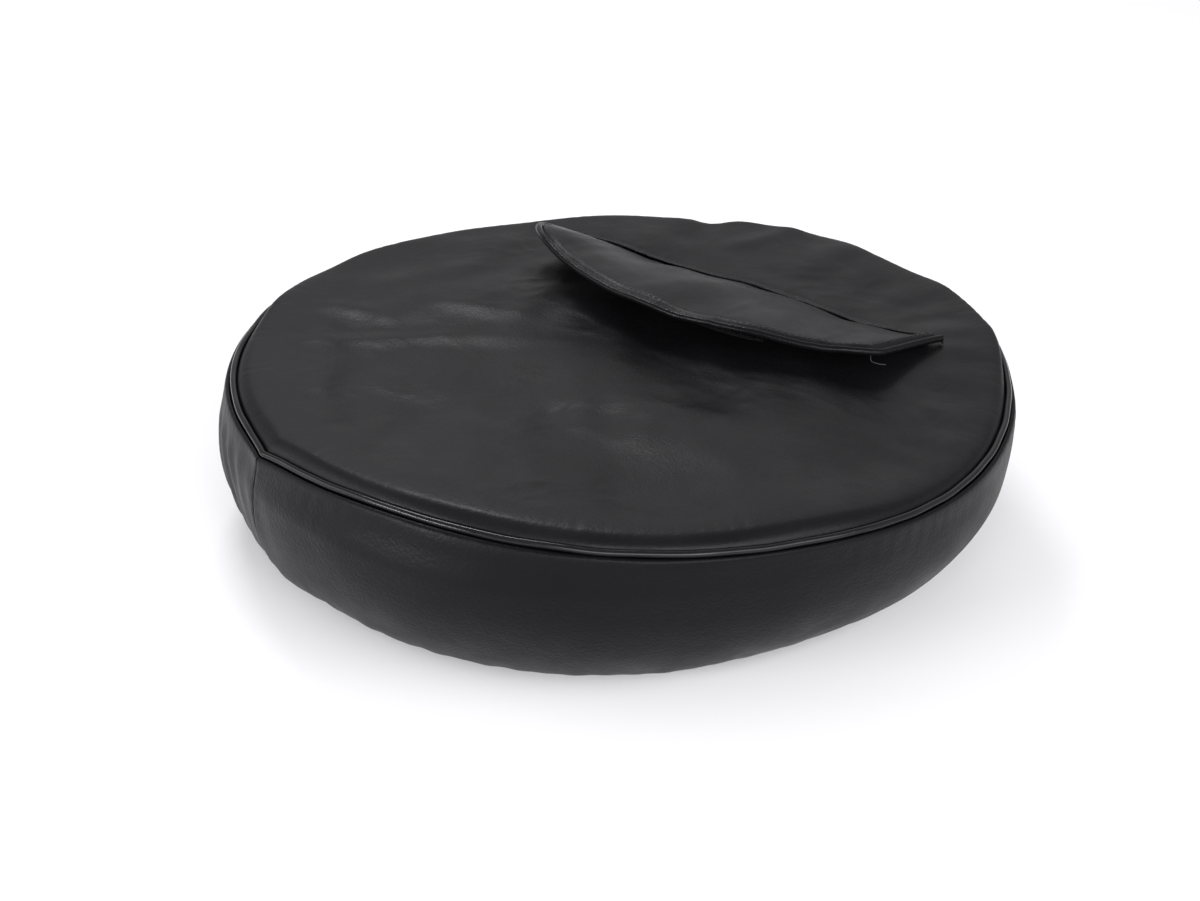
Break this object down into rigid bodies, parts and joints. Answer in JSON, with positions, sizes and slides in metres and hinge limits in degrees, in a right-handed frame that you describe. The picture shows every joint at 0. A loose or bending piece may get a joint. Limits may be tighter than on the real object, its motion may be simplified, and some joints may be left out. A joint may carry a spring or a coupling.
{
  "type": "spare tire cover",
  "caption": "Round soft slip-on cover for a small spare tyre, with a piped flat face, a deep side band, an elastic rear mouth and a flap pocket.",
  "frame": {"origin": "middle of the cover on the surface it lies on, rear mouth down", "axes": "+Z out through the middle of the face; X along the flap's hinge line; the flap reaches from the hinge line towards -Y"},
  "size_m": [0.4348, 0.4348, 0.1315],
  "materials": {
    "black_leatherette": "fine-grained leatherette with a low sheen",
    "black_leatherette_flap": "fine-grained leatherette with a low sheen",
    "black_gloss_piping": "glossy extruded skin over a round core",
    "pale_piping_core": "dull cut cord",
    "black_pocket_cloth": "plain dull lining cloth",
    "black_elastic": "braided elastic",
    "plated_ferrule": "plated",
    "black_hook_and_loop": "nylon hook and loop",
    "grey_stiffener": "plain sheet",
    "black_thread": "bonded sewing thread"
  },
  "bodies": {
    "cover": {"face_panel": "black_leatherette", "face_piping_cover": "black_gloss_piping", "face_piping_cord": "pale_piping_core", "gusset_band": "black_leatherette", "rear_hem_casing": "black_leatherette", "rear_elastic_cord": "black_elastic", "elastic_join_ferrule": "plated_ferrule", "pocket_front_sheet": "black_pocket_cloth", "pocket_back_sheet": "black_pocket_cloth", "pocket_mouth_binding": "black_leatherette", "flap_root_margin": "black_leatherette_flap", "pocket_loop_tape": "black_hook_and_loop", "hinge_topstitch_thread": "black_thread"},
    "flap": {"flap_outer_panel": "black_leatherette_flap", "flap_lining_panel": "black_pocket_cloth", "flap_stiffener_sheet": "grey_stiffener", "flap_piping_cover": "black_gloss_piping", "flap_piping_cord": "pale_piping_core", "flap_hook_tape": "black_hook_and_loop", "flap_topstitch_thread": "black_thread"}
  },
  "joints": [
    {"name": "flap_hinge", "type": "hinge", "parent": "cover", "child": "flap", "pos_m": [0, 0.121, 0.1068], "axis": [-1, 0, 0], "range_deg": [-3, 140]}
  ]
}
